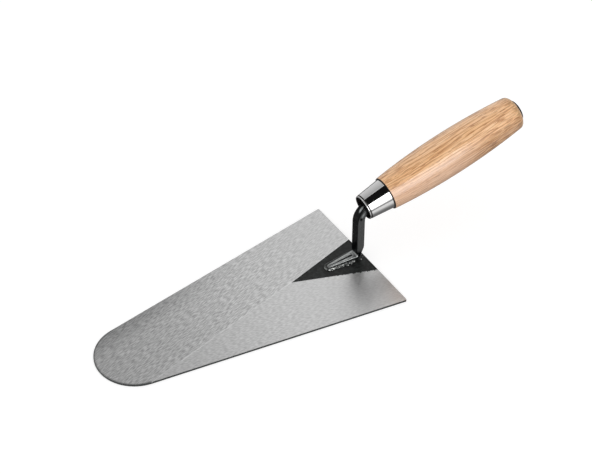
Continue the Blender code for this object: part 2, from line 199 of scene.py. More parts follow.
def turned(name, outline, closed):
    """Turn an outline of (distance behind the mouth, radius) points on the handle's line.

    A circle is extruded and resized point by point. A closed outline ends where it
    began, and an open one has both of its ends filled.
    """
    start, start_radius = outline[0]
    bpy.ops.object.select_all(action="DESELECT")
    bpy.ops.mesh.primitive_circle_add(
        vertices=TURNED_SIDES, radius=start_radius, location=(0, 0, start),
        fill_type="NOTHING" if closed else "NGON")
    piece = bpy.context.object
    piece.name = name
    bpy.ops.object.transform_apply(location=True, rotation=True, scale=True)
    bpy.ops.object.mode_set(mode="EDIT")
    bpy.ops.mesh.select_all(action="SELECT")
    for (along, radius), (next_along, next_radius) in zip(outline, outline[1:]):
        bpy.ops.mesh.extrude_region_move(
            TRANSFORM_OT_translate={"value": (0, 0, next_along - along)})
        growth = next_radius / radius
        bpy.ops.transform.resize(value=(growth, growth, 1),
                                 center_override=(0, 0, next_along))
    bpy.ops.mesh.select_all(action="SELECT")
    bpy.ops.mesh.remove_doubles(threshold=TOUCH)
    bpy.ops.mesh.normals_make_consistent(inside=False)
    close_piece()
    piece.rotation_mode = "QUATERNION"
    piece.rotation_quaternion = HANDLE_TURN
    piece.location = MOUTH
    bpy.ops.object.transform_apply(location=True, rotation=True, scale=True)
    return piece


def arc(centre, radius, start, end, steps):
    """(along, radius) points on a circle, angles in degrees from the along direction."""
    points = []
    for i in range(steps + 1):
        angle = math.radians(start + (end - start) * i / steps)
        points.append((centre[0] + radius * math.cos(angle),
                       centre[1] + radius * math.sin(angle)))
    return points


def paint(piece, surface, wanted=lambda face: True):
    """Give a material to a piece's faces, or to those for which wanted(face) is true."""
    piece.data.materials.append(surface)
    for face in piece.data.polygons:
        if wanted(face):
            face.material_index = len(piece.data.materials) - 1


def finish_piece(piece, replaced, smooth_angle):
    """Smooth a piece, hang it on the body and hide the solid that it stands for.

    Edges that turn more than smooth_angle, in degrees, stay sharp.
    """
    pick(piece)
    bpy.ops.object.transform_apply(location=True, rotation=True, scale=True)
    bpy.ops.object.shade_smooth_by_angle(angle=math.radians(smooth_angle))
    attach(piece, "root")
    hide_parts(replaced)


# ---------------------------------------------------------------- colouring tools
def srgb(code):
    """Linear colour with full alpha from a hex code such as "#c0c0be"."""
    values = [int(code[i:i + 2], 16) / 255 for i in (1, 3, 5)]
    linear = [value / 12.92 if value <= 0.04045 else ((value + 0.055) / 1.055) ** 2.4
              for value in values]
    return (*linear, 1.0)


def fill(tree, node, inputs):
    """Give a node's sockets, by name or number, their values or other nodes' outputs."""
    for socket, value in inputs.items():
        if isinstance(value, bpy.types.NodeSocket):
            tree.links.new(value, node.inputs[socket])
        else:
            node.inputs[socket].default_value = value


def add_node(tree, kind, inputs, output=0, **settings):
    """Add a node with its settings and links, and return one of its outputs.

    inputs gives its sockets their values, as in fill().
    """
    node = tree.nodes.new(kind)
    for name, value in settings.items():
        setattr(node, name, value)
    fill(tree, node, inputs)
    return node.outputs[output]


def start_material(name):
    """New material with a Principled shader. Returns it, its tree, shader and places."""
    made = bpy.data.materials.new(name)
    made.use_nodes = True
    tree = made.node_tree
    shader = tree.nodes["Principled BSDF"]
    places = add_node(tree, "ShaderNodeTexCoord", {}, "Object")
    return made, tree, shader, places


def streaked(tree, places, size_mm, detail, seed, flat=False):
    """Soft streaks that lie along X, given their length and width in millimetres.

    detail adds finer ones within them, and each seed gives another pattern. Flat ones
    take no notice of Z, for a sheet that lies in X and Y.
    """
    along, across = (1 / (size * MM) for size in size_mm)
    scaled = add_node(tree, "ShaderNodeVectorMath",
                      {0: places, 1: (along, across, 0 if flat else across)},
                      operation="MULTIPLY")
    return add_node(tree, "ShaderNodeTexNoise",
                    {"Vector": scaled, "W": seed, "Scale": 1.0, "Detail": detail,
                     "Roughness": 0.6}, "Fac", noise_dimensions="4D")


def patchy(tree, places, size_mm, detail, seed, edges, worth=(0.0, 1.0)):
    """Streaks made crisper: worth[0] below the first edge, worth[1] above the second."""
    soft = streaked(tree, places, size_mm, detail, seed)
    return add_node(tree, "ShaderNodeMapRange",
                    {"Value": soft, "From Min": edges[0], "From Max": edges[1],
                     "To Min": worth[0], "To Max": worth[1]},
                    interpolation_type="SMOOTHSTEP")


def graded(tree, places, axis, start, end, worth=(0.0, 1.0)):
    """worth[0] at start on an axis, worth[1] at end, and a smooth change between them."""
    distance = add_node(tree, "ShaderNodeSeparateXYZ", {0: places}, axis)
    return add_node(tree, "ShaderNodeMapRange",
                    {"Value": distance, "From Min": start, "From Max": end,
                     "To Min": worth[0], "To Max": worth[1]},
                    interpolation_type="SMOOTHSTEP")


def left_of_line(tree, places, start, end):
    """Distance in plan, in metres, to the left of a line from start to end."""
    along = Vector((end.x - start.x, end.y - start.y, 0)).normalized()
    left = Vector((-along.y, along.x, 0))
    reach = add_node(tree, "ShaderNodeVectorMath", {0: places, 1: left}, "Value",
                     operation="DOT_PRODUCT")
    return add_node(tree, "ShaderNodeMath", {0: reach, 1: left.dot(start)},
                    operation="SUBTRACT")


def spot(tree, places, ends, width):
    """1 on the line between two ends, falling softly to 0 at width from it."""
    start, end = ends
    stretch = ((end - start).length / 2 + width, width, width)
    turn = (end - start).to_track_quat("X", "Y").to_euler()
    inside = add_node(tree, "ShaderNodeMapping",
                      {"Vector": places, "Location": (start + end) / 2, "Rotation": turn,
                       "Scale": stretch}, vector_type="TEXTURE")
    out = add_node(tree, "ShaderNodeVectorMath", {0: inside}, "Value", operation="LENGTH")
    return add_node(tree, "ShaderNodeMapRange",
                    {"Value": out, "From Min": 1.0, "From Max": 0.45},
                    interpolation_type="SMOOTHSTEP")


def laid_over(tree, under, over, *shares):
    """Colour with another laid over it by the product of the shares, each 0 to 1."""
    amount = shares[0]
    for share in shares[1:]:
        amount = add_node(tree, "ShaderNodeMath", {0: amount, 1: share},
                          operation="MULTIPLY")
    # 6, 7 and 2 are the Mix node's colour sockets, which share their names with others.
    return add_node(tree, "ShaderNodeMix", {"Factor": amount, 6: under, 7: over}, 2,
                    data_type="RGBA")


# -------------------------------------------------------- blade: ground carbon steel
def belt_strokes(tree, along, stroke_mm):
    """Strokes of a grinding belt that lie along X, given their length and width.

    They are 0.3 to 0.5 mm wide, coarser than real grit so that they show. Two patterns
    of unlike size are summed, because the strokes of a single one stand in rows.
    """
    length, width = stroke_mm
    unlike = (0.73 * length, 1.31 * width)
    summed = add_node(tree, "ShaderNodeMath",
                      {0: streaked(tree, along, stroke_mm, detail=0, seed=1, flat=True),
                       1: streaked(tree, along, unlike, detail=0, seed=2, flat=True)},
                      operation="ADD")
    return add_node(tree, "ShaderNodeMapRange",
                    {"Value": summed, "From Min": 0.7, "From Max": 1.3},
                    interpolation_type="SMOOTHSTEP")


def ground_colour(tree, places, along, strokes, light, dark):
    """Grey between dark and light by the strokes, a little clouded, evener at the heel."""
    clouds = streaked(tree, along, (7, 5), detail=3, seed=2)
    both = add_node(tree, "ShaderNodeMix", {"Factor": 0.06, "A": strokes, "B": clouds})
    swing = add_node(tree, "ShaderNodeMapRange",
                     {"Value": both, "From Min": 0.0, "From Max": 1.0, "To Min": -0.5,
                      "To Max": 0.5}, interpolation_type="SMOOTHSTEP")
    depth = graded(tree, places, "X", -80 * MM, 0.0, worth=(0.5, 1.0))
    level = add_node(tree, "ShaderNodeMath", {0: swing, 1: depth, 2: 0.5},
                     operation="MULTIPLY_ADD")
    return laid_over(tree, srgb(dark), srgb(light), level)


def wander_over_ridge(tree, places, colour, ridge_end):
    """Colour with the next facet's light grinding 0.1 to 0.7 mm over the ridge onto it."""
    beyond = left_of_line(tree, places, LAND_POINT, ridge_end)
    wander = patchy(tree, places, (3.5, 3.5), detail=2, seed=5, edges=(0.35, 0.65),
                    worth=(0.1 * MM, 0.7 * MM))
    reached = add_node(tree, "ShaderNodeMath", {0: beyond, 1: wander}, operation="ADD")
    lighter = add_node(tree, "ShaderNodeMapRange",
                       {"Value": reached, "From Min": -0.3 * MM, "From Max": 0.3 * MM},
                       interpolation_type="SMOOTHSTEP")
    return laid_over(tree, colour, srgb("#cecece"), lighter)


def darken_rim(tree, places, colour):
    """Colour with painted shade: falling off towards the nose, most by the rim, and darkest
    round the nose's edge.
    """
    painted_light = srgb("#3c3e3e")
    from_rim = left_of_line(tree, places, RIM_AT_HEEL, RIM_AT_NOSE)
    near_rim = add_node(tree, "ShaderNodeMapRange",
                        {"Value": from_rim, "From Min": -1 * MM, "From Max": 16 * MM,
                         "To Min": 0.44, "To Max": 0.14},
                        interpolation_type="SMOOTHSTEP")
    towards_nose = graded(tree, places, "X", -40 * MM, 60 * MM)
    colour = laid_over(tree, colour, painted_light, near_rim, towards_nose)

    # A painted dark line of shade round the nose's edge.
    from_centre = add_node(tree, "ShaderNodeVectorMath", {0: places, 1: NOSE_CENTRE},
                           "Value", operation="DISTANCE")
    at_edge = add_node(tree, "ShaderNodeMapRange",
                       {"Value": from_centre, "From Min": NOSE_RADIUS - 1.4 * MM,
                        "From Max": NOSE_RADIUS, "To Min": 0.0, "To Max": 0.75},
                       interpolation_type="SMOOTHSTEP")
    round_nose = graded(tree, places, "X", NOSE_CENTRE.x, NOSE_CENTRE.x + 4 * MM)
    return laid_over(tree, colour, painted_light, at_edge, round_nose)


def lacquer_overrun(tree, places, reach):
    """Share of the land's lacquer on the short facet, past its border by up to reach.

    It runs over raggedly and widens from the land's point to the heel.
    """
    inside = left_of_line(tree, places, LAND_POINT, LAND_HEEL_END)
    widening = graded(tree, places, "X", LAND_POINT.x, HEEL_X, worth=(0.0, reach))
    ragged = patchy(tree, places, (1.6, 1.6), detail=2, seed=3, edges=(0.35, 0.65))
    past = add_node(tree, "ShaderNodeMath", {0: widening, 1: ragged, 2: inside},
                    operation="MULTIPLY_ADD")
    return add_node(tree, "ShaderNodeMapRange",
                    {"Value": past, "From Min": -0.2 * MM, "From Max": 0.7 * MM},
                    interpolation_type="SMOOTHSTEP")


def ground_steel(name, stroke_turn, light, dark, roughness, spread, stroke_mm,
                 overrun=0.0, ridge_end=None):
    """Carbon steel sheet ground on a belt: short strokes in a soft, slightly cloudy grey.

    stroke_turn is the strokes' angle from X in degrees, and spread is how far the
    roughness varies either way. The land's lacquer runs onto the facet by overrun, and
    where ridge_end is given, the next facet's light grinding wanders over the ridge.
    """
    made, tree, shader, places = start_material(name)
    along = add_node(tree, "ShaderNodeMapping",
                     {"Vector": places,
                      "Rotation": Euler((0, 0, math.radians(stroke_turn)))},
                     vector_type="TEXTURE")
    strokes = belt_strokes(tree, along, stroke_mm)
    colour = ground_colour(tree, places, along, strokes, light, dark)
    if ridge_end is not None:
        colour = wander_over_ridge(tree, places, colour, ridge_end)
    # Painted shade towards the nose and along the rim.
    colour = darken_rim(tree, places, colour)
    bare = 1.0
    if overrun:
        lacquered = lacquer_overrun(tree, places, overrun)
        colour = laid_over(tree, colour, srgb("#222524"), lacquered)
        bare = add_node(tree, "ShaderNodeMath", {0: 1.0, 1: lacquered},
                        operation="SUBTRACT")
    # Smooth and rough grit lie side by side, so mirrored shapes stay faintly sharp.
    grit = patchy(tree, along, (1.2, 0.25), detail=0, seed=4, edges=(0.35, 0.65),
                  worth=(roughness - spread, roughness + spread))
    bump = add_node(tree, "ShaderNodeBump",
                    {"Height": strokes, "Strength": 0.3, "Distance": 0.02 * MM})
    fill(tree, shader, {"Base Color": colour, "Metallic": bare, "Roughness": grit,
                        "Normal": bump})
    return made


def bright_arris():
    """Steel rubbed along an edge of the grinding: a thin line, patchily brighter."""
    made, tree, shader, places = start_material("steel rubbed bright")
    wear = patchy(tree, places, (6, 6), detail=3, seed=1, edges=(0.4, 0.6))
    colour = laid_over(tree, srgb("#b8b9b9"), srgb("#d2d2d2"), wear)
    fill(tree, shader, {"Base Color": colour, "Metallic": 1.0, "Roughness": 0.35})
    return made


def sheared_edge():
    """Sheared and blackened sheet edge: a dark line round the blade."""
    made, tree, shader, places = start_material("sheared steel edge")
    burr = streaked(tree, places, (1.5, 1.5), detail=3, seed=1)
    colour = laid_over(tree, srgb("#2a2c2c"), srgb("#4a4c4c"), burr)
    fill(tree, shader, {"Base Color": colour, "Metallic": 1.0, "Roughness": 0.45})
    return made


# -------------------------------------------- land, shank and weld: black over steel
def lacquer_skin(tree, places, size_mm, depth_mm):
    """Faint waves in the skin of a stoved lacquer, their size and depth in millimetres."""
    waves = streaked(tree, places, (size_mm, size_mm), detail=4, seed=1)
    return add_node(tree, "ShaderNodeBump", {"Height": waves, "Strength": 0.5,
                                             "Distance": depth_mm * MM})


def uneven_gloss(tree, places, size_mm, roughness):
    """Roughness that varies by 0.05 either way with the waves of the lacquer."""
    return patchy(tree, places, (size_mm, size_mm), detail=4, seed=1, edges=(0.3, 0.7),
                  worth=(roughness - 0.05, roughness + 0.05))


def land_lacquer():
    """Black stoving lacquer on sheet: matt and mottled, blackest along the heel edge."""
    made, tree, shader, places = start_material("lacquered sheet")
    patches = patchy(tree, places, (2.5, 2.5), detail=4, seed=1, edges=(0.45, 0.65))
    mottled = laid_over(tree, srgb("#0e100f"), srgb("#232625"), patches)
    at_heel = graded(tree, places, "X", HEEL_X + 0.9 * MM, HEEL_X + 1.6 * MM,
                     worth=(1.0, 0.0))
    fill(tree, shader, {"Base Color": laid_over(tree, mottled, srgb("#030303"), at_heel),
                        "Roughness": uneven_gloss(tree, places, 2.5, 0.4),
                        "Specular IOR Level": 0.2,
                        "Normal": lacquer_skin(tree, places, 2.5, 0.03)})
    return made


def neck_lacquer():
    """Black stoving lacquer on the forging: deep and glossy, with a painted lighter grey
    side.

    The +Y side is painted lighter grey, as if lit, but for a dent kept dark as painted
    shade, and two streaks on the bend are painted highlights, partly rubbed down to bright
    steel.
    """
    made, tree, shader, places = start_material("lacquered forging")
    # Painted light on the +Y side above the tongue, less the dent, which keeps painted
    # shade.
    on_side = graded(tree, places, "Y", 2.7 * MM, 3.2 * MM)
    above_tongue = graded(tree, places, "Z", BLADE_TOP + 4.5 * MM, BLADE_TOP + 7.5 * MM)
    side = add_node(tree, "ShaderNodeMath", {0: on_side, 1: above_tongue},
                    operation="MULTIPLY")
    dent = spot(tree, places, DENT, 1.2 * MM)
    painted_side_light = add_node(tree, "ShaderNodeMath", {0: side, 1: dent}, operation="SUBTRACT")
    lacquer = laid_over(tree, srgb("#060708"), srgb("#494a4a"), painted_side_light)
    # Two painted highlights on the bend, on steel partly rubbed bright.
    on_bend = spot(tree, places, BEND_STREAK, 1.1 * MM)
    beside_bend = spot(tree, places, SIDE_STREAK, 1.0 * MM)
    streaks = add_node(tree, "ShaderNodeMath", {0: on_bend, 1: beside_bend},
                       operation="MAXIMUM")
    ragged = patchy(tree, places, (1.2, 1.2), detail=3, seed=2, edges=(0.2, 0.5))
    painted_light = add_node(tree, "ShaderNodeMath", {0: streaks, 1: ragged},
                    operation="MULTIPLY")
    fill(tree, shader, {"Base Color": laid_over(tree, lacquer, srgb("#a0a4a4"), painted_light),
                        "Metallic": painted_light,
                        "Roughness": uneven_gloss(tree, places, 3.0, 0.25),
                        "Specular IOR Level": 0.08,
                        "Normal": lacquer_skin(tree, places, 3.0, 0.05)})
    return made


def rubbed_lacquer():
    """Lacquer rubbed back to grey steel on the tongue's ridges, black in its groove."""
    made, tree, shader, places = start_material("rubbed lacquer")
    # How far a place lies below the line along the ridges, with a ragged limit to it.
    upwards = Vector((RIDGE_AT_ROOT.z - RIDGE_AT_TIP.z, 0,
                      RIDGE_AT_TIP.x - RIDGE_AT_ROOT.x)).normalized()
    height = add_node(tree, "ShaderNodeVectorMath", {0: places, 1: upwards}, "Value",
                      operation="DOT_PRODUCT")
    below_ridge = add_node(tree, "ShaderNodeMath",
                           {0: upwards.dot(RIDGE_AT_TIP), 1: height},
                           operation="SUBTRACT")
    patches = streaked(tree, places, (1.6, 0.9), detail=4, seed=2)
    ragged = add_node(tree, "ShaderNodeMath", {0: patches, 1: 0.45 * MM, 2: -0.22 * MM},
                      operation="MULTIPLY_ADD")
    depth = add_node(tree, "ShaderNodeMath", {0: below_ridge, 1: ragged},
                     operation="ADD")
    high = add_node(tree, "ShaderNodeMapRange",
                    {"Value": depth, "From Min": 0.5 * MM, "From Max": 0.12 * MM},
                    interpolation_type="SMOOTHSTEP")
    off_tip = graded(tree, places, "X", TONGUE_TIP_X, TONGUE_TIP_X - 4 * MM,
                     worth=(0.35, 1.0))
    rubbed = add_node(tree, "ShaderNodeMath", {0: high, 1: off_tip},
                      operation="MULTIPLY")
    smoother = patchy(tree, places, (1.6, 0.9), detail=4, seed=2, edges=(0.3, 0.7))
    steel = laid_over(tree, srgb("#7a7d7d"), srgb("#b4b6b5"), smoother)
    roughness = add_node(tree, "ShaderNodeMapRange",
                         {"Value": rubbed, "From Min": 0.0, "From Max": 1.0,
                          "To Min": 0.2, "To Max": 0.42},
                         interpolation_type="SMOOTHSTEP")
    fill(tree, shader, {"Base Color": laid_over(tree, srgb("#17191a"), steel, rubbed),
                        "Metallic": rubbed, "Roughness": roughness,
                        "Specular IOR Level": 0.32,
                        "Normal": lacquer_skin(tree, places, 2.0, 0.03)})
    return made


def weld_metal():
    """Bare weld metal: grey drops, with lacquer left in the hollows and painted shadow by
    the tongue.
    """
    made, tree, shader, places = start_material("bare weld metal")
    # Painted shadow: black within 1 mm of the tongue's flank, in the crease under it, but
    # not round the weld's front.
    from_flank = left_of_line(tree, places, FLANK_AT_ROOT, FLANK_AT_TIP)
    out_of_flank_shadow = add_node(tree, "ShaderNodeMapRange",
                         {"Value": from_flank, "From Min": 0.8 * MM,
                          "From Max": 1.1 * MM, "To Min": 0.08, "To Max": 1.0},
                         interpolation_type="SMOOTHSTEP")
    in_front = graded(tree, places, "X", WELD_FRONT - 1.1 * MM, WELD_FRONT - 0.6 * MM)
    # Away from the painted shadow by the flank, or in front, the drops may show bare.
    bare = add_node(tree, "ShaderNodeMath", {0: in_front, 1: out_of_flank_shadow},
                    operation="MAXIMUM")
    drops = patchy(tree, places, (0.9, 0.9), detail=3, seed=1, edges=(0.47, 0.57))
    grey = add_node(tree, "ShaderNodeMath", {0: drops, 1: bare}, operation="MULTIPLY")
    colour = laid_over(tree, srgb("#1d2020"), srgb("#9a9c9a"), grey)
    fill(tree, shader, {"Base Color": colour, "Metallic": grey, "Roughness": 0.38})
    return made


# ------------------------------------------- ferrule and cap: plated and blued steel
def polished_steel(name, face, slant, smooth, hazy):
    """Drawn steel, polished and then plated or blued: a mirror with a faint haze.

    face is its tone looked at squarely and slant its tone at a low slant.
    """
    made, tree, shader, places = start_material(name)
    haze = patchy(tree, places, (4, 4), detail=3, seed=1, edges=(0.3, 0.7),
                  worth=(smooth, hazy))
    fill(tree, shader, {"Base Color": srgb(face), "Specular Tint": srgb(slant),
                        "Metallic": 1.0, "Roughness": haze})
    return made


# -------------------------------------------------------- handle: beech, and painted joint shade
def late_wood(tree, grain):
    """Dark late wood at the outer side of each growth ring, which fades in and ends.

    The pith lies outside the barrel, so that its curve cuts the rings in arches.
    """
    from_pith = add_node(tree, "ShaderNodeVectorMath", {0: grain, 1: PITH},
                         operation="SUBTRACT")
    # The stem ran nearly along the handle, so a ring changes little along X.
    squeezed = add_node(tree, "ShaderNodeVectorMath", {0: from_pith, 1: (0.045, 1, 1)},
                        operation="MULTIPLY")
    radius = add_node(tree, "ShaderNodeVectorMath", {0: squeezed}, "Value",
                      operation="LENGTH")
    even = add_node(tree, "ShaderNodeMath", {0: radius, 1: 1 / RING_SPACING},
                    operation="MULTIPLY")
    warp = streaked(tree, grain, (45, 9), detail=2, seed=1)
    rings = add_node(tree, "ShaderNodeMath", {0: warp, 1: 3.0, 2: even},
                     operation="MULTIPLY_ADD")
    in_ring = add_node(tree, "ShaderNodeMath", {0: rings}, operation="FRACT")
    fading_in = add_node(tree, "ShaderNodeMapRange",
                         {"Value": in_ring, "From Min": 0.6, "From Max": 0.88},
                         interpolation_type="SMOOTHSTEP")
    ending = add_node(tree, "ShaderNodeMapRange",
                      {"Value": in_ring, "From Min": 1.0, "From Max": 0.95},
                      interpolation_type="SMOOTHSTEP")
    return add_node(tree, "ShaderNodeMath", {0: fading_in, 1: ending},
                    operation="MULTIPLY")


def tone_sides(tree, grain, body):
    """Wood pinker below the handle's crown, a painted sheen where its gloss lies, and
    browner low down towards the butt, painted shade on its underside.
    """
    start, end = 0.5 * BUTT, 0.82 * BUTT        # of the change along the handle
    # Painted sheen: paler, pinker wood below the crown, where the softbox's gloss lies.
    below_crown = graded(tree, grain, "Z", 9.8 * MM, 6.4 * MM)
    off_butt = graded(tree, grain, "X", start, end, worth=(1.0, 0.0))
    body = laid_over(tree, body, srgb("#dcb9a4"), below_crown, off_butt, 0.5)

    # Painted shade: browner, with bolder dashes, on the underside towards the butt.
    low_down = graded(tree, grain, "Z", 7 * MM, 3 * MM)
    near_butt = graded(tree, grain, "X", start, end)
    brown = add_node(tree, "ShaderNodeMath", {0: low_down, 1: near_butt},
                     operation="MULTIPLY")
    body = laid_over(tree, body, srgb("#95673f"), brown, 0.36)
    dashes = patchy(tree, grain, (9, 0.8), detail=0.5, seed=7, edges=(0.54, 0.6))
    bolder = add_node(tree, "ShaderNodeMapRange",
                      {"Value": brown, "From Min": 0.0, "From Max": 1.0,
                       "To Min": 0.15, "To Max": 0.75}, interpolation_type="SMOOTHSTEP")
    return laid_over(tree, body, srgb("#8a5c34"), dashes, bolder)


def darken_butt(tree, grain, body):
    """Wood whose end grain round the butt drinks the lacquer and darkens in dashes."""
    nearing = graded(tree, grain, "X", BUTT - 7.2 * MM, BUTT - 1.2 * MM)
    dashes = patchy(tree, grain, (3, 0.8), detail=0.5, seed=8, edges=(0.4, 0.6),
                    worth=(0.1, 0.65))
    dashed = add_node(tree, "ShaderNodeMath", {0: nearing, 1: dashes},
                      operation="MULTIPLY")
    at_cap = graded(tree, grain, "X", BUTT - 1.2 * MM, BUTT + 0.4 * MM,
                    worth=(0.0, 0.8))
    thirst = add_node(tree, "ShaderNodeMath", {0: dashed, 1: at_cap},
                      operation="MAXIMUM")
    return laid_over(tree, body, srgb("#8a6c3c"), thirst)


def lacquered_beech():
    """Turned beech under clear lacquer: tan wood, fine brown streaks, a wide soft gloss."""
    made, tree, shader, places = start_material("lacquered beech")
    grain = add_node(tree, "ShaderNodeMapping",
                     {"Vector": places, "Location": MOUTH,
                      "Rotation": GRAIN_TURN.to_euler()}, vector_type="TEXTURE")
    bands = patchy(tree, grain, (40, 4), detail=2, seed=2, edges=(0.35, 0.65))
    body = laid_over(tree, srgb("#f1c293"), srgb("#ebb886"), bands)
    # Streaks and flecks are drawn coarser than real vessels so that they show.
    pale = patchy(tree, grain, (18, 0.7), detail=2, seed=5, edges=(0.5, 0.64))
    body = laid_over(tree, body, srgb("#f6d2ac"), pale, 0.5)
    bold_rings = patchy(tree, grain, (30, 3), detail=2, seed=6, edges=(0.35, 0.6),
                        worth=(0.3, 0.7))
    body = laid_over(tree, body, srgb("#b0753f"), late_wood(tree, grain), bold_rings)
    streaks = patchy(tree, grain, (34, 0.7), detail=0.5, seed=3, edges=(0.55, 0.6))
    body = laid_over(tree, body, srgb("#ab7141"), streaks, 0.55)
    flecks = patchy(tree, grain, (7, 0.7), detail=0.5, seed=4, edges=(0.63, 0.67))
    body = laid_over(tree, body, srgb("#94561f"), flecks, 0.6)
    body = tone_sides(tree, grain, body)
    body = darken_butt(tree, grain, body)

    pores = add_node(tree, "ShaderNodeBump",
                     {"Height": flecks, "Strength": 0.15, "Distance": -0.02 * MM})
    fill(tree, shader, {"Base Color": body, "Normal": pores, "Roughness": 0.55,
                        "Specular IOR Level": 0.2, "Coat Weight": 0.8,
                        "Coat Roughness": 0.13})
    return made


def painted_joint_shade():
    """Painted shade where wood and steel meet and inside the ferrule: nearly black and
    matt.
    """
    made, tree, shader, places = start_material("painted shade in joints")
    shade_mottle = streaked(tree, places, (2, 2), detail=3, seed=1)
    colour = laid_over(tree, srgb("#0b0908"), srgb("#1d1611"), shade_mottle)
    fill(tree, shader, {"Base Color": colour, "Roughness": 0.6})
    return made


# ---------------------------------------------------------------------------- blade
def ridge_end_of(piece):
    """Far end of the ridge that runs from the land's point between the facets."""
    neighbours = []
    for edge in piece.data.edges:
        first, second = ends_of(edge, piece.data)
        if (first - LAND_POINT).length < TOUCH:
            neighbours.append(second)
        if (second - LAND_POINT).length < TOUCH:
            neighbours.append(first)
    return max(neighbours, key=lambda point: point.x).copy()


def make_blade():
    """The ground sheet, rubbed bright on its ridge and on the land's -Y border."""
    piece = copy_solid("blade", "ground_blade")
    ridge_end = ridge_end_of(piece)
    # Each surface takes over those faces of the ones before it that it is meant for.
    paint(piece, ground_steel("ground steel, short facet", stroke_turn=-10,
                              light="#cccccc", dark="#b4b4b4", roughness=0.35,
                              spread=0.06, stroke_mm=(3.0, 0.4), overrun=1.3 * MM))
    paint(piece, ground_steel("ground steel, long facet", stroke_turn=14,
                              light="#cfcfcf", dark="#a2a2a2", roughness=0.34,
                              spread=0.04, stroke_mm=(4.2, 0.34), ridge_end=ridge_end),
          lambda face: face.center.y < 0)
    paint(piece, land_lacquer(), lambda face: face.normal.z > LEVEL)
    paint(piece, sheared_edge(), lambda face: abs(face.normal.z) < 0.5)
    # The underside keeps the long, straight lines of the rolled sheet.
    paint(piece, ground_steel("rolled steel, underside", stroke_turn=0,
                              light="#bfc0c0", dark="#a5a6a6", roughness=0.4,
                              spread=0.04, stroke_mm=(12, 0.4)),
          lambda face: face.normal.z < -0.5)

    def rubbed_edge(ends):
        """True on the ridge between the facets and on the land's border on its -Y side."""
        return (min((point - LAND_POINT).length for point in ends) < TOUCH
                and min((point - LAND_HEEL_END).length for point in ends) > TOUCH)

    piece.data.materials.append(bright_arris())
    piece.active_material_index = len(piece.data.materials) - 1
    open_piece(piece)
    select_edges(piece, rubbed_edge)
    bpy.ops.mesh.bevel(offset=0.22 * MM, segments=2)
    bpy.ops.object.material_slot_assign()
    close_piece()
    finish_piece(piece, "blade", smooth_angle=20)


# ------------------------------------------------------------------ shank and weld
def make_shank():
    """The forging: its chamfers softened, its bare neck swelled by scale and lacquer."""
    piece = copy_solid("shank", "forged_shank")
    apply_modifier(piece, "REMESH", mode="VOXEL", voxel_size=0.25 * MM)

    def bare_neck(ends):
        """True between the tongue and the ferrule's mouth."""
        return (min(point.z for point in ends) > BLADE_TOP + 4 * MM
                and max((point - MOUTH).dot(HANDLE_DIRECTION) for point in ends) < 0)

    open_piece(piece)
    select_edges(piece, bare_neck)
    bpy.ops.transform.shrink_fatten(value=LACQUER_BUILD)
    close_piece()
    apply_modifier(piece, "SMOOTH", factor=0.5, iterations=3)
    piece.data.materials.clear()
    paint(piece, neck_lacquer())
    paint(piece, rubbed_lacquer(), lambda face: face.center.x > RIDGE_AT_ROOT.x - 1 * MM
          and face.center.z < RIDGE_AT_ROOT.z + 1 * MM)
    finish_piece(piece, "shank", smooth_angle=80)


def make_weld():
    """The bead round the tongue with the drops that stand out of it on the +Y side.

    Each drop is a flattened ball sunk into the blade. All are fused with the bead,
    roughened by lumps 0.9 mm wide and cut off level with the blade's top.
    """
    piece = copy_solid("weld_bead", "weld_drops")
    open_piece(piece)
    for drop in WELD_DROPS_MM:
        ahead, aside, radius = (value * MM for value in drop)
        bpy.ops.mesh.primitive_ico_sphere_add(
            subdivisions=3, radius=radius,
            location=(HEEL_X + ahead, aside, BLADE_TOP + 0.35 * radius))
        bpy.ops.transform.resize(value=(1.3, 1.0, 0.8))
    close_piece()
    apply_modifier(piece, "REMESH", mode="VOXEL", voxel_size=0.12 * MM)
    lumps = bpy.data.textures.new("weld lumps", "CLOUDS")
    lumps.noise_scale = 0.9 * MM
    apply_modifier(piece, "DISPLACE", texture=lumps, texture_coords="LOCAL",
                   strength=0.5 * MM, mid_level=0.5)
    apply_modifier(piece, "SMOOTH", factor=0.5, iterations=2)
    open_piece(piece)
    bpy.ops.mesh.select_all(action="SELECT")
    # Blender's own threshold for a cut, 0.1 mm, would double the faces near it.
    bpy.ops.mesh.bisect(plane_co=(0, 0, BLADE_TOP + TOUCH), plane_no=(0, 0, 1),
                        use_fill=True, clear_inner=True, threshold=TOUCH / 10)
    close_piece()
    piece.data.materials.clear()
    paint(piece, weld_metal())
    finish_piece(piece, "weld_bead", smooth_angle=80)


# ------------------------------------------------------------------- turned pieces
def make_ferrule():
    """Drawn conical shell with a rolled lip at the mouth and a groove behind it."""
    rings = rings_of("ferrule")
    length = rings[-1][0]
    end_radius = max(radius for along, radius in rings if along == length)
    inner_radius = min(radius for along, radius in rings if along == length)
    wall = end_radius - inner_radius
    mouth_radius = max(radius for along, radius in rings if along < wall)
    lip = wall * 0.42
    rounding = 0.15 * MM
    cone_start, groove_end = sorted(
        (ring for ring in rings if wall < ring[0] < 2 * wall), reverse=True)
    outline = [(length, inner_radius), (length, end_radius - rounding),
               (length - rounding, end_radius), cone_start, groove_end]
    # The lip is rounded from the groove over the mouth to the inside.
    outline += arc((lip, mouth_radius - lip), lip, start=34, end=270, steps=14)
    outline.append(outline[0])
    piece = turned("chromed_ferrule", outline, closed=True)

    def shadowed(face):
        """True in the groove behind the lip and on the inside of the shell."""
        along, radius = turned_place(face.center)
        outward = face.center - MOUTH - along * HANDLE_DIRECTION
        faces_inward = face.normal.dot(outward) < -0.3 * radius
        return faces_inward or wall * 0.95 < along < cone_start[0]

    paint(piece, polished_steel("bright chrome plate", face="#cdcdcd", slant="#ffffff",
                                smooth=0.03, hazy=0.09))
    # The groove and the shell's inside are painted near black: painted shade.
    paint(piece, painted_joint_shade(), shadowed)
    finish_piece(piece, "ferrule", smooth_angle=40)


